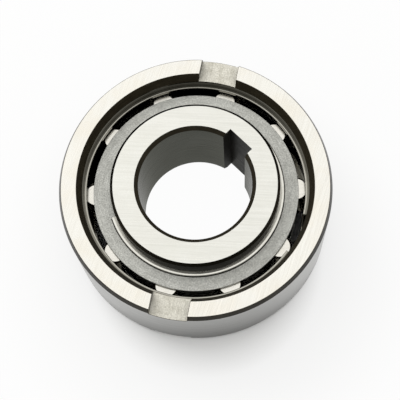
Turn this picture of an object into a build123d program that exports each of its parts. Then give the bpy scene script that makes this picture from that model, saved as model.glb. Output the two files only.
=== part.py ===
from build123d import *
import os
from math import cos, radians, sin, sqrt

os.makedirs("parts", exist_ok=True)

# Roller-ramp freewheel clutch.  Z is the shaft axis and z = 0 the lower face of the inner ring.
# The two driving slots of each outer face lie on the Y axis.  All sizes are in millimetres.

# Outer ring
outer_diameter = 72.0
outer_width = 27.0
outer_wall = 6.0             # between the raceway and the outside
lead_in_radial = 0.67        # outer chamfer that leads the ring into a housing
lead_in_axial = 1.7
mouth_radial = 1.24          # conical mouth of the raceway bore
mouth_axial = 2.5
slot_width = 10.0            # driving slots across the end faces
slot_depth = 2.5
float_offset = 0.4           # the outer ring sits this much below the middle of the rollers

# Rollers and ramps
roller_count = 10
roller_diameter = 6.5
roller_length = 12.5
roller_edge_radius = 0.45
roller_clearance = 0.04      # running clearance to the raceway, the ramp and the plunger
first_roller_angle = 12.5
wedge_angle = 7.0            # between the raceway's and the ramp's contact normals
roller_travel = 0.9          # free way back down the ramp
back_clearance = 0.15        # left behind the roller at the end of its travel
front_clearance = 0.35
pocket_corner_radius = 0.4

# Inner ring
inner_width = 27.8
star_gap = 2.9               # between the raceway and the tops of the star's teeth
star_height = 4.77           # how far the teeth stand out of the lands
star_chamfer = 0.3
land_chamfer = 0.73
inner_wall = 7.33            # between the lands and the bore, which is 30 mm across
bore_chamfer = 1.0
end_clearance = 0.1          # between a roller's end and the side disc
keyway_width = 8.0
keyway_depth = 2.2           # below the bore's wall
keyway_angle = 56.0

# Side discs
disc_thickness = 1.0
disc_gap = 2.67              # between the disc's edge and the raceway
disc_bore_clearance = 0.05
disc_chamfer = 0.12

# Retaining rings on the inner ring's lands
land_ring_thickness = 0.8
land_ring_height = 1.2       # how far it stands out of the land
land_ring_seat = 0.7         # depth of its groove
land_ring_gap_angle = 45.0
land_ring_middle_angle = 187.5
land_ring_edge_radius = 0.2
land_ring_corner_radius = 0.6

# Retaining rings in the outer ring's bore
race_ring_thickness = 1.0
race_ring_height = 0.94      # how far it stands into the bore
race_ring_seat = 1.2
race_ring_float = 1.45       # from the middle position of the rollers to each ring
race_ring_gap_angle = 21.5
race_ring_middle_angle = -13.35
race_ring_edge_radius = 0.1
race_ring_corner_radius = 0.3

ring_seat_clearance = 0.1    # behind and beside a ring in its groove

# Plungers and springs
spring_bore_diameter = 2.1
spring_bore_depth = 5.2
spring_bore_floor = 0.6      # metal between the bore and the ramp
plunger_clearance = 0.05
plunger_length = 2.4         # without its round nose
spring_wire_diameter = 0.2
spring_clearance = 0.15      # between the coils and the bore's wall
spring_end_clearance = 0.03
spring_turns = 8

# Radii
outer_radius = outer_diameter / 2
raceway_radius = outer_radius - outer_wall
roller_radius = roller_diameter / 2
star_radius = raceway_radius - star_gap
land_radius = star_radius - star_height
bore_radius = land_radius - inner_wall
disc_radius = raceway_radius - disc_gap

# Heights
star_width = roller_length + 2 * end_clearance
middle = inner_width / 2
star_bottom = middle - star_width / 2
star_top = middle + star_width / 2
disc_top = star_top + disc_thickness
outer_middle = middle - float_offset
outer_top = outer_middle + outer_width / 2
race_ring_face = roller_length / 2 + race_ring_float

# Roller and ramp, measured from the foot of the ramp: "out" from the axis, "along" counterclockwise
roller_orbit = raceway_radius - roller_radius - roller_clearance
roller_out = roller_orbit * cos(radians(wedge_angle))
roller_along = roller_orbit * sin(radians(wedge_angle))
ramp_out = roller_out - roller_radius - roller_clearance
pocket_back = roller_along - roller_travel - roller_radius - back_clearance
pocket_front = roller_along + roller_radius + front_clearance
pocket_outer = raceway_radius

# Plunger: its round nose touches the roller below the roller's middle
spring_bore_radius = spring_bore_diameter / 2
plunger_radius = spring_bore_radius - plunger_clearance
plunger_out = ramp_out + spring_bore_floor + spring_bore_radius
nose_reach = roller_radius + plunger_radius + roller_clearance
nose_along = roller_along - sqrt(nose_reach**2 - (roller_out - plunger_out) ** 2)
plunger_tail = nose_along - plunger_length
spring_coil_radius = spring_bore_radius - spring_clearance - spring_wire_diameter / 2
spring_start = plunger_tail - spring_end_clearance - spring_wire_diameter / 2
spring_stop = pocket_back - spring_bore_depth + spring_end_clearance + spring_wire_diameter / 2


def pocket_point(index, out, along, height):
    """A point given from the foot of one ramp."""
    turn = radians(first_roller_angle - wedge_angle + index * 360 / roller_count)
    return Vector(
        out * cos(turn) - along * sin(turn),
        out * sin(turn) + along * cos(turn),
        height,
    )


def spring_plane(index, along):
    """A plane across one spring bore, facing down the bore, away from the roller."""
    origin = pocket_point(index, plunger_out, along, middle)
    deeper = pocket_point(index, plunger_out, along - 1, middle)
    return Plane(origin=origin, x_dir=(0, 0, 1), z_dir=deeper - origin)


def gap_sector(middle_angle, gap_angle, reach):
    """The sector that opens a retaining ring, cut from the sketch that is being made."""
    turns = [radians(middle_angle + side * gap_angle / 2) for side in (-1, 1)]
    corners = [(reach * cos(turn), reach * sin(turn)) for turn in turns]
    Polygon((0, 0), *corners, align=None, mode=Mode.SUBTRACT)


def finish(piece, name):
    piece.part.label = name
    export_step(piece.part, f"parts/{name}.step")


# Outer ring: a revolved section with a groove for each retaining ring
groove_radius = raceway_radius + race_ring_seat + ring_seat_clearance
groove_inner = race_ring_face - ring_seat_clearance / 2
groove_outer = race_ring_face + race_ring_thickness + ring_seat_clearance / 2

with BuildPart() as outer_ring:
    with BuildSketch(Plane.XZ):
        with BuildLine():
            Polyline(
                (raceway_radius, outer_middle),
                (raceway_radius, outer_middle + groove_inner),
                (groove_radius, outer_middle + groove_inner),
                (groove_radius, outer_middle + groove_outer),
                (raceway_radius, outer_middle + groove_outer),
                (raceway_radius, outer_top - mouth_axial),
                (raceway_radius + mouth_radial, outer_top),
                (outer_radius - lead_in_radial, outer_top),
                (outer_radius, outer_top - lead_in_axial),
                (outer_radius, outer_middle),
                close=True,
            )
        make_face()
    revolve(axis=Axis.Z)
    with BuildSketch(Plane.XY.offset(outer_top - slot_depth)):
        with PolarLocations(outer_radius, 2, start_angle=90):
            Rectangle(4 * outer_wall, slot_width)
    extrude(amount=slot_depth, mode=Mode.SUBTRACT)
    mirror(about=Plane.XY.offset(outer_middle))
finish(outer_ring, "outer_ring")

# Retaining rings in the outer ring's bore
for name, height, turn in (
    ("outer_snap_ring_top", outer_middle + race_ring_face, 0),
    ("outer_snap_ring_bottom", outer_middle - race_ring_face - race_ring_thickness, 180),
):
    with BuildPart() as race_ring:
        with BuildSketch(Plane.XY.offset(height)) as blank:
            Circle(raceway_radius + race_ring_seat)
            Circle(raceway_radius - race_ring_height, mode=Mode.SUBTRACT)
            gap_sector(race_ring_middle_angle + turn, race_ring_gap_angle, outer_diameter)
            fillet(blank.vertices(), radius=race_ring_corner_radius)
        extrude(amount=race_ring_thickness)
        ends = race_ring.faces().filter_by(Axis.Z)
        chamfer(ends.edges(), length=race_ring_edge_radius)
    finish(race_ring, name)

# Inner ring: bore, lands and the star that carries the ramps
seat_radius = land_radius - land_ring_seat
seat_top = disc_top + land_ring_thickness + ring_seat_clearance

with BuildPart() as inner_ring:
    with BuildSketch(Plane.XZ):
        with BuildLine():
            Polyline(
                (bore_radius, middle),
                (bore_radius, inner_width - bore_chamfer),
                (bore_radius + bore_chamfer, inner_width),
                (land_radius - land_chamfer, inner_width),
                (land_radius, inner_width - land_chamfer),
                (land_radius, seat_top),
                (seat_radius, seat_top),
                (seat_radius, disc_top),
                (land_radius, disc_top),
                (land_radius, star_top),
                (star_radius - star_chamfer, star_top),
                (star_radius, star_top - star_chamfer),
                (star_radius, middle),
                close=True,
            )
        make_face()
    revolve(axis=Axis.Z)
    mirror(about=Plane.XY.offset(middle))
    with BuildSketch(Plane.XY.offset(star_bottom)):
        with PolarLocations(
            (ramp_out + pocket_outer) / 2,
            roller_count,
            start_angle=first_roller_angle - wedge_angle,
        ):
            with Locations((0, (pocket_back + pocket_front) / 2)):
                RectangleRounded(
                    pocket_outer - ramp_out, pocket_front - pocket_back, pocket_corner_radius
                )
    extrude(amount=star_width, mode=Mode.SUBTRACT)
    for index in range(roller_count):
        with BuildSketch(spring_plane(index, pocket_back)):
            Circle(spring_bore_radius)
        extrude(amount=spring_bore_depth, mode=Mode.SUBTRACT)
    with BuildSketch():
        with PolarLocations((bore_radius + keyway_depth) / 2, 1, start_angle=keyway_angle):
            Rectangle(bore_radius + keyway_depth, keyway_width)
    extrude(amount=inner_width, mode=Mode.SUBTRACT)
finish(inner_ring, "inner_ring")

# Side discs that hold the rollers on the star
for name, height in (
    ("side_disc_top", star_top),
    ("side_disc_bottom", star_bottom - disc_thickness),
):
    with BuildPart() as side_disc:
        with BuildSketch(Plane.XY.offset(height)):
            Circle(disc_radius)
            Circle(land_radius + disc_bore_clearance, mode=Mode.SUBTRACT)
        extrude(amount=disc_thickness)
        chamfer(side_disc.edges(), length=disc_chamfer)
    finish(side_disc, name)

# Retaining rings that hold the side discs
for name, height, turn in (
    ("inner_snap_ring_top", disc_top, 0),
    ("inner_snap_ring_bottom", inner_width - disc_top - land_ring_thickness, 180),
):
    with BuildPart() as land_ring:
        with BuildSketch(Plane.XY.offset(height)) as blank:
            Circle(land_radius + land_ring_height)
            Circle(seat_radius + ring_seat_clearance, mode=Mode.SUBTRACT)
            gap_sector(land_ring_middle_angle + turn, land_ring_gap_angle, outer_diameter)
            fillet(blank.vertices().group_by(SortBy.DISTANCE)[-1], radius=land_ring_corner_radius)
        extrude(amount=land_ring_thickness)
        ends = land_ring.faces().filter_by(Axis.Z)
        fillet(ends.edges(), radius=land_ring_edge_radius)
    finish(land_ring, name)

# Rollers, each with its plunger and spring
for index in range(roller_count):
    number = f"{index + 1:02}"

    with BuildPart() as roller:
        seat = pocket_point(index, roller_out, roller_along, middle - roller_length / 2)
        with BuildSketch(Plane(origin=seat)):
            Circle(roller_radius)
        extrude(amount=roller_length)
        fillet(roller.edges().filter_by(GeomType.CIRCLE), radius=roller_edge_radius)
    finish(roller, f"roller_{number}")

    with BuildPart() as plunger:
        with BuildSketch(spring_plane(index, nose_along)):
            Circle(plunger_radius)
        extrude(amount=plunger_length)
        with Locations(spring_plane(index, nose_along).location):
            Sphere(plunger_radius)
    finish(plunger, f"plunger_{number}")

    with BuildPart() as spring:
        coil_plane = spring_plane(index, spring_start)
        coil_height = spring_start - spring_stop
        with BuildLine() as coil:
            Helix(
                pitch=coil_height / spring_turns,
                height=coil_height,
                radius=spring_coil_radius,
                center=coil_plane.origin,
                direction=coil_plane.z_dir,
            )
        with BuildSketch(Plane(origin=coil.line @ 0, z_dir=coil.line % 0)):
            Circle(spring_wire_diameter / 2)
        sweep(is_frenet=True)
    finish(spring, f"spring_{number}")
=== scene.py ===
import bpy
import bmesh
from math import cos, hypot, pi, radians, sin
from mathutils import Matrix, Vector


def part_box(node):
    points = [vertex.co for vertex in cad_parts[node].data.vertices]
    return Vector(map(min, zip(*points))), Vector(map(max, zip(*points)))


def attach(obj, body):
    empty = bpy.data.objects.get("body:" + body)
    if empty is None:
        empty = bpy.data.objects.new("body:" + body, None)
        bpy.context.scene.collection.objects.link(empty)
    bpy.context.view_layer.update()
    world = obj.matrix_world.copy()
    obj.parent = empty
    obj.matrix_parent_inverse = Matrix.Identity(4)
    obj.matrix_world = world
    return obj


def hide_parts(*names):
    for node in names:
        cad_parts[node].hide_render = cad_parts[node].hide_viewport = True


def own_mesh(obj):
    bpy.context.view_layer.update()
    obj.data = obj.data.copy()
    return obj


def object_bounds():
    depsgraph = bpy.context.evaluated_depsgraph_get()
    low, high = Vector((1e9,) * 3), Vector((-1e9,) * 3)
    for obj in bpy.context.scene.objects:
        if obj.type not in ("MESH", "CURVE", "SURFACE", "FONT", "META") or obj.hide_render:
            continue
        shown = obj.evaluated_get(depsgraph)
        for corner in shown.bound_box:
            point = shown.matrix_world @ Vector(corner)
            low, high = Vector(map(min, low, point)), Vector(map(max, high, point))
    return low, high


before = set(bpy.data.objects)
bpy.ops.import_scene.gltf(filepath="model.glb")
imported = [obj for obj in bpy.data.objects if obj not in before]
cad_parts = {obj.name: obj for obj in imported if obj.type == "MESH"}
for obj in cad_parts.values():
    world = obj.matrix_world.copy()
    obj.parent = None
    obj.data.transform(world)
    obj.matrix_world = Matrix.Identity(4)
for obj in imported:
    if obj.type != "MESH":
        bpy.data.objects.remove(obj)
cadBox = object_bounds()
mm = 0.001
tiny = 1e-6
near = 0.1  # a face belongs to a turned surface if its middle is this close, in millimetres
turnSteps = 240  # facets round a turned surface
sharpAngle = radians(40)  # edges sharper than this stay crisp
rimAngle = radians(60)  # the square edges that a bevel rounds


def toLinear(hexColour):
    parts = [int(hexColour[i:i + 2], 16) / 255 for i in (1, 3, 5)]
    return [p / 12.92 if p <= 0.04045 else ((p + 0.055) / 1.055) ** 2.4 for p in parts] + [1.0]


# adds a node, with its settings and with a value or a link for each input named
def addNode(tree, kind, inputs=None, **settings):
    node = tree.nodes.new("ShaderNode" + kind)
    for key, value in settings.items():
        setattr(node, key, value)
    for key, value in (inputs or {}).items():
        if isinstance(value, bpy.types.NodeSocket):
            tree.links.new(value, node.inputs[key])
        else:
            node.inputs[key].default_value = value
    return node


# strokes of a grinding wheel or a milling cutter: straight, long one way and fine the other
def straightGrain(tree, look):
    place = addNode(tree, "TexCoord").outputs["Object"]
    turned = addNode(tree, "Mapping", {"Vector": place, "Rotation": (0, 0, -radians(look["angle"]))})
    fine = 1 / (look["across"] * mm)
    size = (1 / (look["along"] * mm), fine, fine)
    return addNode(tree, "VectorMath", {0: turned.outputs[0], 1: size}, operation="MULTIPLY").outputs[0]


grainRadius = 30  # where the marks round the axis have the length that a finish gives


# marks of a lathe or a cylindrical grinder: they run round the shaft's axis
def turnedGrain(tree, look):
    place = addNode(tree, "TexCoord").outputs["Object"]
    split = addNode(tree, "SeparateXYZ", {0: place})
    flat = addNode(tree, "CombineXYZ", {0: split.outputs[0], 1: split.outputs[1]}).outputs[0]
    outward = addNode(tree, "VectorMath", {0: flat}, operation="NORMALIZE").outputs[0]
    radius = addNode(tree, "VectorMath", {0: flat}, operation="LENGTH").outputs["Value"]
    slow = addNode(tree, "VectorMath", {
        0: outward, "Scale": grainRadius / look["along"]}, operation="SCALE").outputs[0]
    drop = addNode(tree, "Math", {0: radius, 1: split.outputs[2]}, operation="SUBTRACT").outputs[0]
    fast = addNode(tree, "Math", {0: drop, 1: 1 / (look["across"] * mm)}, operation="MULTIPLY").outputs[0]
    lift = addNode(tree, "CombineXYZ", {2: fast}).outputs[0]
    return addNode(tree, "VectorMath", {0: slow, 1: lift}, operation="ADD").outputs[0]


# a steel surface: its colour, blotches of a second colour, tool marks and a fine grain
def steelSurface(name, look):
    material = bpy.data.materials.new(name)
    material.use_nodes = True
    tree = material.node_tree
    shader = tree.nodes["Principled BSDF"]
    place = addNode(tree, "TexCoord").outputs["Object"]
    marks = (straightGrain if "angle" in look else turnedGrain)(tree, look)
    strokes = addNode(tree, "TexNoise", {"Vector": marks, "Scale": 1.0, "Detail": 3.0, "Roughness": 0.6})
    blotch = addNode(tree, "TexNoise", {
        "Vector": place, "Scale": 1 / (look["blotchSize"] * mm), "Detail": 4.0, "Roughness": 0.6})
    grain = addNode(tree, "TexNoise", {
        "Vector": place, "Scale": 1 / (look["grainSize"] * mm), "Detail": 2.0, "Roughness": 0.5})

    stained = addNode(tree, "MapRange", {
        0: blotch.outputs[0], 1: 0.42, 2: 0.68, 3: 0.0, 4: look["blotch"]})
    streaked = addNode(tree, "MapRange", {
        0: strokes.outputs[0], 1: 0.35, 2: 0.7, 3: 0.0, 4: look["stroke"]})
    speckled = addNode(tree, "MapRange", {
        0: grain.outputs[0], 1: 0.35, 2: 0.65, 3: 0.0, 4: look["grain"]})
    colour = addNode(tree, "Mix", {
        0: stained.outputs[0], 6: toLinear(look["colour"]), 7: toLinear(look["stain"])}, data_type="RGBA")
    colour = addNode(tree, "Mix", {
        0: streaked.outputs[0], 6: colour.outputs[2], 7: toLinear(look["dark"])}, data_type="RGBA")
    colour = addNode(tree, "Mix", {
        0: speckled.outputs[0], 6: colour.outputs[2], 7: toLinear(look["dark"])}, data_type="RGBA")
    tree.links.new(colour.outputs[2], shader.inputs["Base Color"])

    rough = addNode(tree, "MapRange", {
        0: strokes.outputs[0], 1: 0.3, 2: 0.7, 3: look["roughness"][0], 4: look["roughness"][1]})
    tree.links.new(rough.outputs[0], shader.inputs["Roughness"])
    height = addNode(
        tree, "Math", {0: strokes.outputs[0], 1: look["strokeDepth"] * mm}, operation="MULTIPLY")
    relief = addNode(tree, "Math", {
        0: grain.outputs[0], 1: look["grainDepth"] * mm, 2: height.outputs[0]}, operation="MULTIPLY_ADD")
    bump = addNode(tree, "Bump", {"Strength": 1.0, "Distance": 1.0, "Height": relief.outputs[0]})
    tree.links.new(bump.outputs[0], shader.inputs["Normal"])
    shader.inputs["Metallic"].default_value = look["metallic"]
    shader.inputs["Specular IOR Level"].default_value = look.get("shine", 0.5)
    shader.inputs["Specular Tint"].default_value = toLinear(look.get("edge", "#FFFFFF"))
    return material


# Faces ground flat on a surface grinder, bright and warm, with long straight strokes.  The real
# strokes are about 0.1 mm apart; here they are 0.35 mm, so that they show.
groundFace = {
    "colour": "#FDFBF3", "stain": "#F9F1E0", "dark": "#D9D5C9", "blotch": 0.5, "blotchSize": 7.0,
    "along": 9.0, "across": 0.35, "angle": 83, "stroke": 0.35, "strokeDepth": 0.0012,
    "grainSize": 0.3, "grain": 0.1, "grainDepth": 0.0004, "roughness": (0.18, 0.28), "metallic": 1.0,
}
innerFace = dict(
    groundFace, colour="#F3F2EA", stain="#EBEAE0", dark="#C8C7BE", angle=8, along=14.0,
    roughness=(0.26, 0.38))

# Outside ground in a centreless grinder: satin, with fine marks round the axis
groundOutside = {
    "colour": "#A9A9A6", "stain": "#A09F9B", "dark": "#8B8B88", "blotch": 0.4, "blotchSize": 9.0,
    "along": 20.0, "across": 0.4, "stroke": 0.3, "strokeDepth": 0.001,
    "grainSize": 0.3, "grain": 0.1, "grainDepth": 0.0003, "roughness": (0.3, 0.42), "metallic": 1.0,
}

# Raceway, ground and honed smooth, its colour darkened as painted shade of the recess it faces
honedShadedRaceway = dict(
    groundOutside, colour="#5A5952", stain="#504F48", dark="#3A3933", roughness=(0.06, 0.14), stroke=0.6,
    strokeDepth=0.0004)

# Bore, ground inside: smoother, with faint marks round the axis, and darker as painted shade of the hollow
# it reflects
shadedGroundBore = dict(
    groundOutside, colour="#595A57", stain="#4C4D4A", dark="#454643", edge="#BABAB6",
    roughness=(0.2, 0.3), stroke=0.35)

# Turned surfaces that were hardened and never ground keep a brown-black skin
hardenedSkin = {
    "colour": "#26231B", "stain": "#37342B", "dark": "#171510", "blotch": 0.4, "blotchSize": 2.5,
    "along": 10.0, "across": 0.3, "stroke": 0.5, "strokeDepth": 0.002,
    "grainSize": 0.25, "grain": 0.3, "grainDepth": 0.001, "roughness": (0.2, 0.32), "metallic": 1.0,
}

# The mouths of the outer ring are turned smoother, and the skin looks brown there
mouthSkin = dict(
    hardenedSkin, colour="#453F31", stain="#5A5343", dark="#26221A", edge="#4A4944", roughness=(0.2, 0.32),
    metallic=0.5, shine=0.1)

# The lands of the inner ring above and below its grooves were turned finer: nearly black and smooth,
# with a grey sheen towards their sides
blackenedLand = dict(
    hardenedSkin, colour="#15140F", stain="#24221B", dark="#0C0A07", edge="#8A8983", roughness=(0.26, 0.4),
    metallic=0.8)

# The chamfers of the bore were turned and left: brown, and matt enough to show from every side
boreChamferSkin = dict(
    hardenedSkin, colour="#353127", stain="#403B30", dark="#221F18", edge="#4A4944", roughness=(0.4, 0.55),
    metallic=0.35, shine=0.1)

# Slots milled after hardening: matt and mottled, with short strokes along the cutter's path
milledSlot = {
    "colour": "#F0EDE1", "stain": "#C6C2B2", "dark": "#A39F92", "blotch": 0.6, "blotchSize": 1.4,
    "along": 2.5, "across": 0.5, "angle": 90, "stroke": 0.25, "strokeDepth": 0.001,
    "grainSize": 0.35, "grain": 0.4, "grainDepth": 0.001, "roughness": (0.5, 0.65), "metallic": 0.9,
}

# Keyway, broached along the axis before hardening: dark, with lines from end to end
broachedKeyway = dict(
    hardenedSkin, colour="#474741", stain="#393934", dark="#1E1E1A", edge="#8A8983", roughness=(0.3, 0.45),
    stroke=0.8, metallic=0.7)

# Its two walls: matt, and darker still as painted shade
shadedKeywayWall = dict(
    hardenedSkin, colour="#34332C", stain="#3C3B33", dark="#22211C", edge="#6A6964", roughness=(0.5, 0.65),
    metallic=0.4)

# Side discs of pressed sheet with a grey phosphate coat: matt and finely grained
phosphateDisc = {
    "colour": "#E4E4DC", "stain": "#C9C9C1", "dark": "#8A8A84", "blotch": 0.7, "blotchSize": 2.2,
    "along": 6.0, "across": 0.5, "stroke": 0.15, "strokeDepth": 0.0008,
    "grainSize": 0.3, "grain": 0.6, "grainDepth": 0.003, "roughness": (0.45, 0.58), "metallic": 0.75,
}

# Retaining rings of cold-rolled spring steel strip: light grey, with a warm oily film
springSteel = {
    "colour": "#DCD9CE", "stain": "#C6C3B7", "dark": "#98958A", "blotch": 0.5, "blotchSize": 3.0,
    "along": 8.0, "across": 0.3, "stroke": 0.35, "strokeDepth": 0.0005,
    "grainSize": 0.3, "grain": 0.2, "grainDepth": 0.0002, "roughness": (0.22, 0.3), "metallic": 1.0,
}

# Their rounded edges: smoother, and lighter as a painted highlight
edgeHighlight = dict(springSteel, colour="#F3F1E8", stain="#E6E3D8", dark="#C4C1B5", roughness=(0.1, 0.16))

# The strip of a ring's flat face beside its free edge: a painted highlight that makes a soft light line
paintedHighlightStrip = dict(edgeHighlight, colour="#C9C6BB", stain="#B5B2A7", dark="#98958A")

# Rollers, lapped: nearly white
lappedRoller = {
    "colour": "#F5F2E9", "stain": "#ECE8DB", "dark": "#CFCBBF", "blotch": 0.4, "blotchSize": 1.5,
    "along": 3.0, "across": 0.3, "angle": 30, "stroke": 0.2, "strokeDepth": 0.0003,
    "grainSize": 0.3, "grain": 0.15, "grainDepth": 0.0003, "roughness": (0.18, 0.28), "metallic": 1.0,
}

# The retaining rings under the mouth, darkened as painted shade of the recess they lie in
shadedSpring = dict(
    springSteel, colour="#8F8C81", stain="#7A776C", dark="#57544A", roughness=(0.1, 0.18))

# The corners of those rings: the edge highlight, darkened as painted shade
shadedEdgeHighlight = dict(edgeHighlight, colour="#A5A297", stain="#918E83", dark="#77746A")

# A dark line of painted contact shade where a retaining ring rests on its disc
contactShade = dict(phosphateDisc, colour="#37352C", stain="#2A2820", dark="#1C1A15", metallic=0.3)

# Plungers and spring wire: plain bright steel
plainSteel = dict(springSteel, colour="#B9B8B3", stain="#A5A49F", roughness=(0.25, 0.35))

looks = {
    "groundFace": groundFace, "innerFace": innerFace, "groundOutside": groundOutside,
    "honedShadedRaceway": honedShadedRaceway, "shadedGroundBore": shadedGroundBore, "hardenedSkin": hardenedSkin,
    "mouthSkin": mouthSkin, "boreChamferSkin": boreChamferSkin, "blackenedLand": blackenedLand,
    "milledSlot": milledSlot, "broachedKeyway": broachedKeyway, "shadedKeywayWall": shadedKeywayWall,
    "phosphateDisc": phosphateDisc, "springSteel": springSteel, "edgeHighlight": edgeHighlight,
    "paintedHighlightStrip": paintedHighlightStrip, "shadedSpring": shadedSpring, "shadedEdgeHighlight": shadedEdgeHighlight, "contactShade": contactShade,
    "lappedRoller": lappedRoller, "plainSteel": plainSteel,
}
steel = {name: steelSurface(name, look) for name, look in looks.items()}
print("materials made:", len(steel))


# a section turned about the Z axis, all the way round or from one angle to another
def turnSection(points, start=0.0, sweep=360.0):
    bm = bmesh.new()
    verts = [bm.verts.new((r, 0, z)) for r, z in points]
    edges = [bm.edges.new((a, b)) for a, b in zip(verts, verts[1:] + verts[:1])]
    geometry = verts + edges
    whole = sweep == 360.0
    if not whole:
        geometry += [bm.faces.new(verts)]
    bmesh.ops.rotate(bm, verts=verts, cent=(0, 0, 0), matrix=Matrix.Rotation(radians(start), 3, "Z"))
    bmesh.ops.spin(
        bm, geom=geometry, cent=(0, 0, 0), axis=(0, 0, 1), angle=radians(sweep),
        steps=round(turnSteps * sweep / 360), use_merge=whole)
    bmesh.ops.recalc_face_normals(bm, faces=bm.faces)
    return bm


# A notch with a flat floor and two flat walls.  In its own frame the floor is at z = 0, the walls
# stand at x = low and x = high, it runs along y, and it is open towards +z as far as reach.
def cutNotch(bm, place, low, high, reach, floorFinish, wallFinish):
    toNotch = place.inverted()

    def touches(face):
        spots = [toNotch @ v.co for v in face.verts]
        acrossIt = max(p.x for p in spots) > low + tiny and min(p.x for p in spots) < high - tiny
        return acrossIt and max(p.z for p in spots) > tiny and min(p.z for p in spots) < reach

    walls = [((x, 0, 0), (1, 0, 0)) for x in (low, high)]
    for point, direction in [((0, 0, 0), (0, 0, 1))] + walls:
        faces = [f for f in bm.faces if touches(f)]
        edges = {e for f in faces for e in f.edges}
        verts = {v for f in faces for v in f.verts}
        bmesh.ops.bisect_plane(
            bm, geom=faces + list(edges) + list(verts), dist=tiny,
            plane_co=place @ Vector(point), plane_no=place.to_3x3() @ Vector(direction))
    inside = []
    for face in bm.faces:
        middle = toNotch @ face.calc_center_median()
        if low < middle.x < high and 0 < middle.z < reach:
            inside.append(face)
    bmesh.ops.delete(bm, geom=inside, context="FACES")

    # the two edges where the floor meets the walls
    for x in (low, high):
        corner = [
            v for v in bm.verts
            if abs((toNotch @ v.co).x - x) < tiny and abs((toNotch @ v.co).z) < tiny]
        corner.sort(key=lambda v: (toNotch @ v.co).y)
        for first, second in zip(corner[::2], corner[1::2]):
            bmesh.ops.contextual_create(bm, geom=[first, second])
    for finish, flat in (
        (wallFinish, lambda p: abs(p.x - low) < tiny and -tiny < p.z < reach),
        (wallFinish, lambda p: abs(p.x - high) < tiny and -tiny < p.z < reach),
        (floorFinish, lambda p: abs(p.z) < tiny and low - tiny < p.x < high + tiny),
    ):
        loose = [
            e for e in bm.edges
            if len(e.link_faces) < 2 and all(flat(toNotch @ v.co) for v in e.verts)]
        made = bmesh.ops.edgenet_fill(bm, edges=loose)
        for face in made["faces"]:
            face.material_index = finish
    bmesh.ops.recalc_face_normals(bm, faces=bm.faces)


# the small rounding that tumbling leaves on every sharp outer edge
def breakEdges(bm, width, finish=-1, sharpest=18, segments=2):
    sharp = [e for e in bm.edges if e.is_manifold and e.calc_face_angle_signed() > radians(sharpest)]
    bmesh.ops.bevel(
        bm, geom=sharp, offset=width * mm, offset_type="OFFSET", segments=segments, profile=0.5,
        affect="EDGES", material=finish, clamp_overlap=True)


# whether a face is flat and in one of the two end planes
def onEnd(face, bottom, top):
    height = face.calc_center_median().z / mm
    return abs(face.normal.z) > 0.9 and not bottom + 0.01 <= height <= top - 0.01


# makes the mesh an object that replaces CAD nodes, which it hides, and rides on their body
def addPiece(name, bm, finishes, body, nodes):
    bmesh.ops.recalc_face_normals(bm, faces=bm.faces)
    mesh = bpy.data.meshes.new(name)
    bm.to_mesh(mesh)
    bm.free()
    for finish in finishes:
        mesh.materials.append(steel[finish])
    mesh.shade_smooth()
    mesh.set_sharp_from_angle(angle=sharpAngle)
    piece = bpy.data.objects.new(name, mesh)
    bpy.context.scene.collection.objects.link(piece)
    normals = piece.modifiers.new("flatFaces", "WEIGHTED_NORMAL")
    normals.weight = 80
    normals.keep_sharp = True
    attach(piece, body)
    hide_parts(*nodes)
    return piece


outerRing = {
    "raceway": 30.0, "mouthRadial": 1.24, "mouthAxial": 2.5, "leadInRadial": 0.67, "leadInAxial": 1.7,
    "grooveRadius": 31.3, "grooveGap": 0.05, "slotWidth": 10.0, "slotDepth": 2.5, "slotReach": 10.0,
    "edge": 0.09,
    "finishes": ["groundFace", "groundOutside", "honedShadedRaceway", "hardenedSkin", "milledSlot", "mouthSkin"],
}
outerLow, outerHigh = [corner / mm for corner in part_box("outer_ring")]
topRing = [corner.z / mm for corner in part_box("outer_snap_ring_top")]
bottomRing = [corner.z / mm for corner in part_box("outer_snap_ring_bottom")]


def makeOuterRing(size):
    outside, bottom, top = outerHigh.x, outerLow.z, outerHigh.z
    inside = size["raceway"]
    leadIn = outside - size["leadInRadial"]
    mouth = inside + size["mouthRadial"]
    groove, gap = size["grooveRadius"], size["grooveGap"]
    finish = size["finishes"].index
    section = [
        (inside, top - size["mouthAxial"]), (mouth, top), (leadIn, top),
        (outside, top - size["leadInAxial"]), (outside, bottom + size["leadInAxial"]),
        (leadIn, bottom), (mouth, bottom), (inside, bottom + size["mouthAxial"]),
    ]
    for low, high in (bottomRing, topRing):
        section += [(inside, low - gap), (groove, low - gap), (groove, high + gap), (inside, high + gap)]
    bm = turnSection([(r * mm, z * mm) for r, z in section])
    for face in bm.faces:
        middle = face.calc_center_median() / mm
        radius = hypot(middle.x, middle.y)
        if onEnd(face, bottom, top):
            face.material_index = finish("groundFace")
        elif radius > outside - near:
            face.material_index = finish("groundOutside")
        elif radius < inside + near and bottom + size["mouthAxial"] < middle.z < top - size["mouthAxial"]:
            face.material_index = finish("honedShadedRaceway")
        elif radius < mouth:
            face.material_index = finish("mouthSkin")
        else:
            face.material_index = finish("hardenedSkin")
    half = size["slotWidth"] / 2 * mm
    upper = Matrix.Translation((0, 0, (top - size["slotDepth"]) * mm))
    lower = Matrix.Translation((0, 0, (bottom + size["slotDepth"]) * mm)) @ Matrix.Rotation(pi, 4, "Y")
    # the slots' walls take the dark finish of the hardened skin
    for place in (upper, lower):
        cutNotch(
            bm, place, -half, half, size["slotReach"] * mm, finish("milledSlot"), finish("hardenedSkin"))
    breakEdges(bm, size["edge"], finish("mouthSkin"))
    addPiece(
        "outerRing", bm, size["finishes"], "outer_ring", ["outer_ring"])


makeOuterRing(outerRing)
print("outer ring made")


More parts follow.
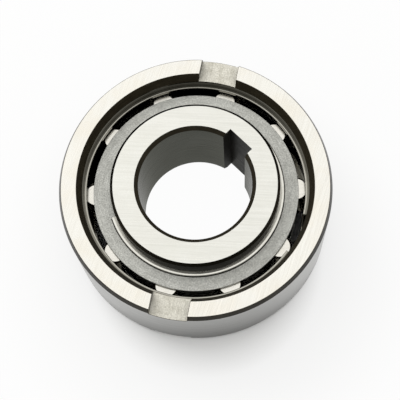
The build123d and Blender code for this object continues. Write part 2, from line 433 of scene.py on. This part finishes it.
innerRing = {
    "bore": 15.0, "boreChamfer": 1.0, "land": 22.33, "landChamfer": 0.73, "grooveRadius": 21.63,
    "grooveGap": 0.1, "star": 27.1, "starChamfer": 0.3, "keyWidth": 8.0, "keyFloor": 17.2, "keyAngle": 56.0,
    "edge": 0.07,
    "finishes": [
        "innerFace", "shadedGroundBore", "hardenedSkin", "broachedKeyway", "groundOutside", "blackenedLand",
        "shadedKeywayWall", "boreChamferSkin"],
}
# the ten pockets with their ramps, and the spring holes; lead and slack are how far a cutter
# overshoots into a pocket and past the star's two faces
pocket = {
    "wedge": 7.0, "clearance": 0.04, "travel": 0.9, "back": 0.15, "front": 0.35, "slack": 0.02,
    "holeRadius": 1.05, "holeDepth": 5.2, "holeFloor": 0.6, "holeSteps": 24, "lead": 1.0,
}
innerLow, innerHigh = [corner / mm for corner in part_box("inner_ring")]
discHeights, landHeights = {}, {}
for side in ("bottom", "top"):
    discHeights[side] = [corner.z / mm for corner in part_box("side_disc_" + side)]
    landHeights[side] = [corner.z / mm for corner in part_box("inner_snap_ring_" + side)]
rollerNumbers = [name[-2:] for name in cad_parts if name.startswith("roller_")]


# the frame of one ramp: x runs along it counterclockwise, y along the shaft, z out of the axis
def rampFrame(number, out, along=0.0):
    middle = rollerPlace(number)["middle"]
    flat = Vector((middle.x, middle.y, 0)).normalized()
    outward = Matrix.Rotation(-radians(pocket["wedge"]), 3, "Z") @ flat
    forward = Vector((-outward.y, outward.x, 0))
    up = Vector((0, 0, 1))
    turn = Matrix((forward, up, outward)).transposed()
    return Matrix.Translation((outward * out + forward * along + up * middle.z) * mm) @ turn.to_4x4()


# where a roller lies, in millimetres, with its distance out from the axis and along the ramp's frame
def rollerPlace(number):
    low, high = [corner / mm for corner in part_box("roller_" + number)]
    middle = (low + high) / 2
    orbit, radius = hypot(middle.x, middle.y), (high.x - low.x) / 2
    return {
        "out": orbit * cos(radians(pocket["wedge"])), "along": orbit * sin(radians(pocket["wedge"])),
        "radius": radius, "middle": middle, "low": low.z, "high": high.z,
    }


# the wall of a pocket that the spring's hole opens in
def pocketBack(place):
    return place["along"] - pocket["travel"] - place["radius"] - pocket["back"]


def makeInnerRing(size):
    bottom, top = innerLow.z, innerHigh.z
    bore, land, star = size["bore"], size["land"], size["star"]
    starTop, starBottom = discHeights["top"][0], discHeights["bottom"][1]
    finish = size["finishes"].index
    section = [
        (bore, bottom + size["boreChamfer"]), (bore, top - size["boreChamfer"]),
        (bore + size["boreChamfer"], top), (land - size["landChamfer"], top),
        (land, top - size["landChamfer"]),
    ]
    landFoot = landHeights["top"][1] + size["grooveGap"]
    upper = [
        (land, landFoot), (size["grooveRadius"], landFoot), (size["grooveRadius"], discHeights["top"][1]),
        (land, discHeights["top"][1]), (land, starTop), (star - size["starChamfer"], starTop),
        (star, starTop - size["starChamfer"]),
    ]
    section += upper
    section += [(r, top + bottom - z) for r, z in reversed(upper)]
    section += [
        (land, bottom + size["landChamfer"]), (land - size["landChamfer"], bottom),
        (bore + size["boreChamfer"], bottom),
    ]
    bm = turnSection([(r * mm, z * mm) for r, z in section])
    for face in bm.faces:
        middle = face.calc_center_median() / mm
        radius = hypot(middle.x, middle.y)
        if onEnd(face, bottom, top):
            face.material_index = finish("innerFace")
        elif radius < bore + near:
            face.material_index = finish("shadedGroundBore")
        elif radius > land - near and not top + bottom - landFoot <= middle.z <= landFoot:
            face.material_index = finish("blackenedLand")
        elif radius < bore + size["boreChamfer"]:
            face.material_index = finish("boreChamferSkin")
        else:
            face.material_index = finish("hardenedSkin")
    inward = Matrix.Rotation(radians(size["keyAngle"]), 3, "Z") @ Vector((-1, 0, 0))
    up = Vector((0, 0, 1))
    turn = Matrix((up.cross(inward), up, inward)).transposed().to_4x4()
    place = Matrix.Translation(-inward * size["keyFloor"] * mm) @ turn
    half = size["keyWidth"] / 2 * mm
    cutNotch(bm, place, -half, half, size["keyFloor"] * mm, finish("broachedKeyway"), finish("shadedKeywayWall"))
    breakEdges(bm, size["edge"])
    ring = addPiece(
        "innerRing", bm, size["finishes"], "inner_ring", ["inner_ring"])

    # the pockets and the spring holes are cut by two sets of cutters
    pockets, holes = bmesh.new(), bmesh.new()
    for number in rollerNumbers:
        place = rollerPlace(number)
        ramp = place["out"] - place["radius"] - pocket["clearance"]
        back = pocketBack(place)
        front = place["along"] + place["radius"] + pocket["front"]
        reach = 2 * (star - ramp)
        width = starTop - starBottom + pocket["slack"]
        cube = bmesh.ops.create_cube(pockets, size=mm)["verts"]
        bmesh.ops.scale(pockets, vec=(front - back, width, reach), verts=cube)
        bmesh.ops.transform(
            pockets, verts=cube,
            matrix=rampFrame(number, ramp + reach / 2, (front + back) / 2))
        hole = bmesh.ops.create_cone(
            holes, segments=pocket["holeSteps"], cap_ends=True, radius1=pocket["holeRadius"] * mm,
            radius2=pocket["holeRadius"] * mm, depth=(pocket["holeDepth"] + pocket["lead"]) * mm)["verts"]
        bmesh.ops.rotate(holes, verts=hole, cent=(0, 0, 0), matrix=Matrix.Rotation(pi / 2, 3, "Y"))
        bmesh.ops.transform(
            holes, verts=hole,
            matrix=rampFrame(
                number, ramp + pocket["holeFloor"] + pocket["holeRadius"],
                back - (pocket["holeDepth"] - pocket["lead"]) / 2))
    for cutter, cutFinish in ((pockets, "groundOutside"), (holes, "hardenedSkin")):
        mesh = bpy.data.meshes.new("cutter")
        cutter.to_mesh(mesh)
        cutter.free()
        mesh.materials.append(steel[cutFinish])
        tool = bpy.data.objects.new("cutter", mesh)
        bpy.context.scene.collection.objects.link(tool)
        cut = ring.modifiers.new("cut", "BOOLEAN")
        cut.object = tool
        cut.operation = "DIFFERENCE"
        cut.solver = "EXACT"
        cut.material_mode = "TRANSFER"
        ring.modifiers.move(len(ring.modifiers) - 1, 0)
        bpy.context.view_layer.update()
        with bpy.context.temp_override(object=ring, active_object=ring, selected_objects=[ring]):
            bpy.ops.object.modifier_apply(modifier=cut.name)
        bpy.data.objects.remove(tool)
    ring.data.set_sharp_from_angle(angle=sharpAngle)


makeInnerRing(innerRing)
print("inner ring made")


sideDisc = {"radius": 27.33, "bore": 22.38, "edge": 0.14, "shadeInside": 23.4, "shadeOutside": 23.74}
# The free corners of a ring are rounded by crown along its face and crownDrop down its wall, and
# strip is how much of the flat face beside them carries a painted highlight.  The finishes are those of
# its face, of these corners, of the half that lies in the shade below, painted dark as shade, and of the
# strip.
landRing = {
    "outside": 23.53, "inside": 21.73, "gap": 45.0, "middle": 187.5, "crown": 0.6, "crownDrop": 0.22,
    "strip": 0.0, "corner": 0.6, "finishes": ["springSteel", "edgeHighlight", "hardenedSkin"],
}
raceRing = {
    "inside": 29.06, "outside": 31.2, "gap": 21.5, "middle": -13.35, "crown": 0.2, "crownDrop": 0.15,
    "strip": 0.22, "corner": 0.3, "finishes": ["shadedSpring", "shadedEdgeHighlight", "shadedSpring", "paintedHighlightStrip"],
}
crownSteps = 5  # facets across a rounded corner


# a side disc, with a line of painted contact shade where the open retaining ring beside it rests
def makeDisc(side, turn, size):
    low, high = discHeights[side]
    radii = [size[key] for key in ("bore", "shadeInside", "shadeOutside", "radius")]
    section = [(r, low) for r in radii] + [(r, high) for r in reversed(radii)]
    bm = turnSection([(r * mm, z * mm) for r, z in section])
    clearAngle = radians(landRing["middle"] + turn)
    clearOf = Vector((cos(clearAngle), sin(clearAngle), 0))
    for face in bm.faces:
        middle = face.calc_center_median() / mm
        inGap = Vector((middle.x, middle.y, 0)).angle(clearOf) < radians(landRing["gap"] / 2)
        if size["shadeInside"] < hypot(middle.x, middle.y) < size["shadeOutside"] and not inGap:
            face.material_index = 1
    breakEdges(bm, size["edge"])
    addPiece(
        "sideDisc." + side, bm, ["phosphateDisc", "contactShade"], "inner_ring", ["side_disc_" + side])


# A flat open ring.  Its far edge is in a groove and its free edge isn't; the free edge has rounded
# corners, and the ends of the ring are rounded in plan there.
def makeOpenRing(name, heights, free, hidden, size, turn, body, node):
    low, high = heights
    outward = 1 if free > hidden else -1
    crown, drop = size["crown"], size["crownDrop"]
    bends = [pi / 2 * step / crownSteps for step in range(crownSteps + 1)]
    upper = [(free - outward * crown * (1 - sin(a)), high - drop * (1 - cos(a))) for a in bends]
    if size["strip"] > 0:
        upper = [(upper[0][0] - outward * size["strip"], high)] + upper
    lower = [(r, low + high - z) for r, z in reversed(upper)]
    start = size["middle"] + turn + size["gap"] / 2
    bm = turnSection(
        [(r * mm, z * mm) for r, z in [(hidden, high)] + upper + lower + [(hidden, low)]],
        start, 360 - size["gap"])
    upright = [
        e for e in bm.edges
        if abs((e.verts[0].co - e.verts[1].co).normalized().z) > 0.99
        and e.calc_face_angle() > rimAngle
        and abs(hypot(e.verts[0].co.x, e.verts[0].co.y) / mm - free) < 0.01]
    bmesh.ops.bevel(
        bm, geom=upright, offset=size["corner"] * mm, offset_type="OFFSET", segments=5, profile=0.5,
        affect="EDGES", material=-1, clamp_overlap=True)
    middle = (cadBox[0].z + cadBox[1].z) / 2 / mm
    for face in bm.faces:
        height = abs(face.calc_center_median().z / mm - middle)
        shaded = height < abs((low + high) / 2 - middle) + 0.05
        if abs(face.normal.z) > 0.999:
            spot = face.calc_center_median() / mm
            # faces in the strip beside the free edge take the painted highlight
            highlighted = abs(hypot(spot.x, spot.y) - free) < crown + size["strip"]
            face.material_index = 3 if highlighted else 0
        else:
            # walls of the half towards the disc take the third finish, painted dark as shade
            face.material_index = 2 if shaded else 1
    addPiece(name, bm, size["finishes"], body, [node])


for side, turn in (("top", 0), ("bottom", 180)):
    makeDisc(side, turn, sideDisc)
    makeOpenRing(
        "landRing." + side, landHeights[side], landRing["outside"], landRing["inside"], landRing, turn,
        "inner_ring", "inner_snap_ring_" + side)
    makeOpenRing(
        "raceRing." + side, {"top": topRing, "bottom": bottomRing}[side], raceRing["inside"],
        raceRing["outside"], raceRing, turn, "outer_ring", "outer_snap_ring_" + side)
print("discs and retaining rings made")


roller = {"edge": 0.45, "steps": 48, "edgeSteps": 4}
plunger = {"length": 2.4, "steps": 24, "noseSteps": 16}  # the length is without its round nose
spring = {"wire": 0.2, "coil": 0.8, "turns": 8, "endGap": 0.03, "steps": 20}


def makeRoller(number, size):
    place = rollerPlace(number)
    bm = bmesh.new()
    bmesh.ops.create_cone(
        bm, segments=size["steps"], cap_ends=True, radius1=place["radius"] * mm,
        radius2=place["radius"] * mm, depth=(place["high"] - place["low"]) * mm)
    rims = [e for e in bm.edges if e.calc_face_angle() > rimAngle]
    bmesh.ops.bevel(
        bm, geom=rims, offset=size["edge"] * mm, offset_type="OFFSET", segments=size["edgeSteps"],
        profile=0.5, affect="EDGES", material=-1, clamp_overlap=True)
    for face in bm.faces:
        straight = max(abs(face.normal.z), hypot(face.normal.x, face.normal.y)) > 0.99
        face.material_index = 0 if straight else 1
    bmesh.ops.translate(bm, verts=bm.verts, vec=place["middle"] * mm)
    addPiece(
        "roller." + number, bm, ["lappedRoller", "hardenedSkin"], "roller_" + number, ["roller_" + number])


# a plunger and the spring behind it lie in the hole, on the ramp's x axis
def makePlungerAndSpring(number, rodSize, size):
    place = rollerPlace(number)
    ramp = place["out"] - place["radius"] - pocket["clearance"]
    holeOut = ramp + pocket["holeFloor"] + pocket["holeRadius"]
    low, high = [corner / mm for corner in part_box("plunger_" + number)]
    radius = (high.z - low.z) / 2
    reach = place["radius"] + radius + pocket["clearance"]
    nose = place["along"] - (reach ** 2 - (place["out"] - holeOut) ** 2) ** 0.5
    tail = nose - rodSize["length"]
    rod = bmesh.new()
    bmesh.ops.create_uvsphere(
        rod, u_segments=rodSize["steps"], v_segments=rodSize["noseSteps"], radius=radius * mm)
    bmesh.ops.rotate(rod, verts=rod.verts, cent=(0, 0, 0), matrix=Matrix.Rotation(pi / 2, 3, "Y"))
    back = [v for v in rod.verts if v.co.x < -tiny]
    bmesh.ops.delete(rod, geom=back, context="VERTS")
    rim = [e for e in rod.edges if e.is_boundary]
    grown = bmesh.ops.extrude_edge_only(rod, edges=rim)["geom"]
    end = [g for g in grown if isinstance(g, bmesh.types.BMVert)]
    bmesh.ops.translate(rod, verts=end, vec=((tail - nose) * mm, 0, 0))
    bmesh.ops.contextual_create(rod, geom=[e for e in rod.edges if e.is_boundary])
    bmesh.ops.transform(rod, verts=rod.verts, matrix=rampFrame(number, holeOut, nose))
    addPiece(
        "plunger." + number, rod, ["plainSteel"], "plunger_" + number, ["plunger_" + number])

    # the coil: a wire's section turned about the hole's axis while it moves along
    start = tail - size["endGap"] - size["wire"] / 2
    stop = pocketBack(place) - pocket["holeDepth"] + size["endGap"] + size["wire"] / 2
    coil = bmesh.new()
    ring = bmesh.ops.create_circle(coil, segments=8, radius=size["wire"] / 2 * mm)["verts"]
    bmesh.ops.rotate(coil, verts=ring, cent=(0, 0, 0), matrix=Matrix.Rotation(pi / 2, 3, "Y"))
    bmesh.ops.rotate(coil, verts=ring, cent=(0, 0, 0), matrix=Matrix.Rotation(pi / 2, 3, "Z"))
    bmesh.ops.translate(coil, verts=ring, vec=(0, 0, size["coil"] * mm))
    steps = size["turns"] * size["steps"]
    ends = coil.verts[:] + coil.edges[:]
    bmesh.ops.spin(
        coil, geom=ends, cent=(0, 0, 0), axis=(1, 0, 0), angle=2 * pi * size["turns"], steps=steps,
        dvec=((stop - start) / steps * mm, 0, 0))
    bmesh.ops.holes_fill(coil, edges=[e for e in coil.edges if e.is_boundary])
    bmesh.ops.transform(coil, verts=coil.verts, matrix=rampFrame(number, holeOut, start))
    piece = addPiece(
        "spring." + number, coil, ["plainSteel"], "inner_ring", ["spring_" + number])
    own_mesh(piece)


for number in rollerNumbers:
    makeRoller(number, roller)
    makePlungerAndSpring(number, plunger, spring)
print("rollers, plungers and springs made")


stage = {
    "floor": "#F6F6F4", "floorRadius": 3.0, "floorGap": 0.00002, "floorRough": 0.9, "floorShine": 0.1,
    "worldLight": 0.82, "lamp": 2.4, "lampSize": 0.6, "lampTurn": 150, "lampHeight": 36, "lampAway": 1.0,
    # how white the floor is by itself, by the distance in mm from the axis: white in the bore, where a
    # keyway reaches out furthest, and not under the rings
    "inWhite": ((0, 0.97), (17.5, 0.97), (18.5, 0.0), (60, 0.0)),
    # and round them, by the distance from a point in front of the axis, so that the shadow stays there
    "frontTurn": 288.3, "shadowShift": 14.0,
    "outWhite": ((0, 0.0), (24, 0.1), (33, 0.7), (60, 0.9), (200, 0.97)),
    # the floor as metal shows it, painted: black under the rings, a painted shadow in front of them and
    # white further out
    "outGloss": ((0, 0.22), (22, 0.22), (29, 0.65), (33, 1.0), (200, 1.0)),
    "rings": 36.0,
    # metal shows a dimmer room low down in front, and white above and behind
    "roomDim": 0.3, "roomEdge": (0.15, 0.8),
}


# lays white over what the camera sees, as far as the share says, and a shade over what metal shows
def layOver(tree, below, white, share, shade):
    path = addNode(tree, "LightPath")
    shown = addNode(tree, "Math", {0: path.outputs["Is Camera Ray"], 1: share}, operation="MULTIPLY")
    first = addNode(tree, "MixShader", {0: shown.outputs[0], 1: below, 2: white})
    gloss = addNode(tree, "Math", {
        0: path.outputs["Is Glossy Ray"], 1: path.outputs["Is Transmission Ray"]}, operation="ADD",
        use_clamp=True)
    return addNode(tree, "MixShader", {0: gloss.outputs[0], 1: first.outputs[0], 2: shade}).outputs[0]


# a value that changes with the distance from a point of the floor, through stops in millimetres
def byDistance(tree, point, stops):
    place = addNode(tree, "TexCoord").outputs["Object"]
    distance = addNode(tree, "VectorMath", {0: place, 1: point}, operation="DISTANCE").outputs["Value"]
    furthest = stops[-1][0]
    share = addNode(tree, "Math", {0: distance, 1: 1 / (furthest * mm)}, operation="MULTIPLY")
    ramp = addNode(tree, "ValToRGB", {0: share.outputs[0]})
    elements = ramp.color_ramp.elements
    while len(elements) < len(stops):
        elements.new(0.5)
    for element, (reach, white) in zip(elements, stops):
        element.position = reach / furthest
        element.color = (white, white, white, 1.0)
    return ramp.outputs[0], distance


# how white the floor is: the larger of what the bore shows and what lies beyond the rings
def floorWhite(tree, size, outStops):
    inner, radius = byDistance(tree, (0, 0, 0), size["inWhite"])
    front = Matrix.Rotation(radians(size["frontTurn"]), 3, "Z") @ Vector((size["shadowShift"] * mm, 0, 0))
    outer = byDistance(tree, front, outStops)[0]
    beyond = addNode(tree, "Math", {0: radius, 1: size["rings"] * mm}, operation="GREATER_THAN").outputs[0]
    outer = addNode(tree, "Math", {0: outer, 1: beyond}, operation="MULTIPLY").outputs[0]
    return addNode(tree, "Math", {0: inner, 1: outer}, operation="MAXIMUM").outputs[0]


def makeStage(size):
    bm = bmesh.new()
    bmesh.ops.create_circle(bm, cap_ends=True, segments=96, radius=size["floorRadius"])
    bmesh.ops.translate(bm, verts=bm.verts, vec=(0, 0, cadBox[0].z - size["floorGap"]))
    mesh = bpy.data.meshes.new("floor")
    bm.to_mesh(mesh)
    bm.free()
    floor = bpy.data.objects.new("floor", mesh)
    bpy.context.scene.collection.objects.link(floor)
    paper = bpy.data.materials.new("paperFloor")
    paper.use_nodes = True
    tree = paper.node_tree
    shader = tree.nodes["Principled BSDF"]
    shader.inputs["Base Color"].default_value = toLinear(size["floor"])
    shader.inputs["Roughness"].default_value = size["floorRough"]
    shader.inputs["Specular IOR Level"].default_value = size["floorShine"]
    glow = addNode(tree, "Emission", {"Color": (1, 1, 1, 1), "Strength": 1.0})
    # what metal sees of the floor is painted: black under the rings and a painted shadow in front of them
    shade = addNode(tree, "Emission", {"Strength": floorWhite(tree, size, size["outGloss"])})
    white = floorWhite(tree, size, size["outWhite"])
    top = layOver(tree, shader.outputs[0], glow.outputs[0], white, shade.outputs[0])
    tree.links.new(top, tree.nodes["Material Output"].inputs["Surface"])
    mesh.materials.append(paper)

    world = bpy.data.worlds.new("tent")
    bpy.context.scene.world = world
    world.use_nodes = True
    tree = world.node_tree
    light = tree.nodes["Background"]
    light.inputs["Color"].default_value = (1, 1, 1, 1)
    light.inputs["Strength"].default_value = size["worldLight"]
    white = addNode(tree, "Background", {"Color": (1, 1, 1, 1), "Strength": 1.0})
    front = Matrix.Rotation(radians(size["frontTurn"]), 3, "Z") @ Vector((1, 0, 0))
    direction = addNode(tree, "TexCoord").outputs["Generated"]
    toFront = addNode(
        tree, "VectorMath", {0: direction, 1: front}, operation="DOT_PRODUCT").outputs["Value"]
    level = addNode(tree, "MapRange", {
        0: toFront, 1: size["roomEdge"][0], 2: size["roomEdge"][1], 3: 1.0, 4: size["roomDim"]},
        interpolation_type="SMOOTHSTEP").outputs[0]
    room = addNode(tree, "Background", {"Color": (1, 1, 1, 1), "Strength": level})
    top = layOver(tree, light.outputs[0], white.outputs[0], 1.0, room.outputs[0])
    tree.links.new(top, tree.nodes["World Output"].inputs["Surface"])

    lamp = bpy.data.lights.new("softbox", "AREA")
    lamp.energy, lamp.size = size["lamp"], size["lampSize"]
    box = bpy.data.objects.new("softbox", lamp)
    bpy.context.scene.collection.objects.link(box)
    raised = Matrix.Rotation(-radians(size["lampHeight"]), 4, "Y")
    turn = Matrix.Rotation(radians(size["lampTurn"]), 4, "Z") @ raised
    box.location = turn @ Vector((size["lampAway"], 0, 0))
    box.rotation_euler = box.location.to_track_quat("Z", "Y").to_euler()


# The camera aims at the middle of the outer ring's top face and is then tilted and rolled a little
camera = {
    "turn": 18.3, "distance": 93.58, "height": 313.04, "aim": 27.0, "lens": 103.53, "sensor": 36.0,
    "pitch": -0.822, "yaw": -0.147, "roll": -7.282, "closest": 0.01, "furthest": 20.0,
}


def makeCamera(size):
    data = bpy.data.cameras.new("camera")
    data.lens, data.sensor_width = size["lens"], size["sensor"]
    data.clip_start, data.clip_end = size["closest"], size["furthest"]
    eye = bpy.data.objects.new("camera", data)
    bpy.context.scene.collection.objects.link(eye)
    spot = Matrix.Rotation(radians(size["turn"]), 3, "Z") @ Vector((0, -size["distance"], size["height"]))
    away = spot - Vector((0, 0, size["aim"]))
    aim = away.to_track_quat("Z", "Y").to_matrix()
    for axis, angle in (("X", size["pitch"]), ("Y", size["yaw"]), ("Z", size["roll"])):
        aim = aim @ Matrix.Rotation(radians(angle), 3, axis)
    eye.matrix_world = Matrix.Translation(spot * mm) @ aim.to_4x4()
    bpy.context.scene.camera = eye


makeStage(stage)
makeCamera(camera)
bpy.context.scene.view_settings.view_transform = "Standard"
print("stage and camera made")
